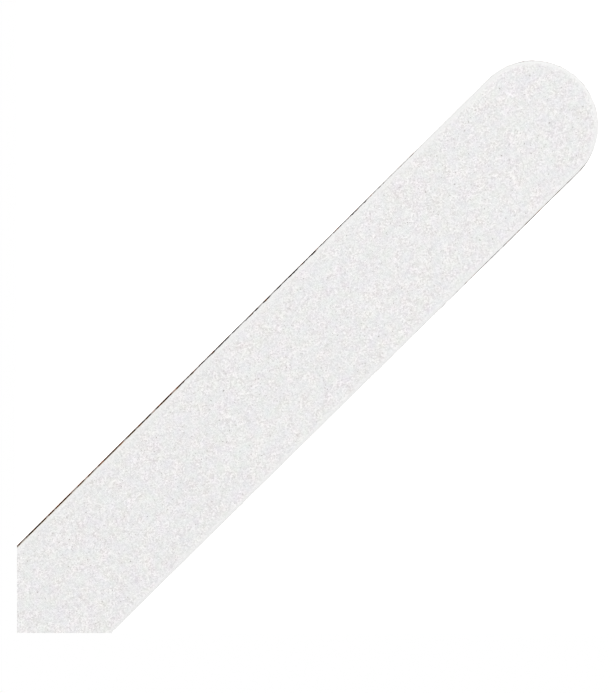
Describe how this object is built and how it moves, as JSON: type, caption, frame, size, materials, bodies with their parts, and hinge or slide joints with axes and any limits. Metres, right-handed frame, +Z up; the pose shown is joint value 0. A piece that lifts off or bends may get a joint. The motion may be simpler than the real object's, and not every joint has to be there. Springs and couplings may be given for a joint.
{
  "type": "emery board",
  "caption": "Straight flat nail file with half-round ends: a thin wood strip faced on both sides with white coated abrasive paper, coarse above and finer below, with a softened edge.",
  "frame": {"origin": "under the middle of the board, on the plane that its lower face lies on", "axes": "+X along the board towards one round end, +Y across its width, +Z up through its plies from the finer lower face to the coarser upper face"},
  "size_m": [0.178, 0.019, 0.0021],
  "materials": {
    "core_wood": "matte",
    "laminating_glue": "satin",
    "backing_paper": "matte",
    "bond_resin": "satin",
    "abrasive_grain": "satin",
    "white_size_resin": "matte"
  },
  "bodies": {
    "root": {"core_strip": "core_wood", "upper_glue_film": "laminating_glue", "upper_backing_paper": "backing_paper", "upper_make_coat": "bond_resin", "upper_grit": "abrasive_grain", "upper_size_coat": "white_size_resin", "lower_glue_film": "laminating_glue", "lower_backing_paper": "backing_paper", "lower_make_coat": "bond_resin", "lower_grit": "abrasive_grain", "lower_size_coat": "white_size_resin"}
  },
  "joints": []
}
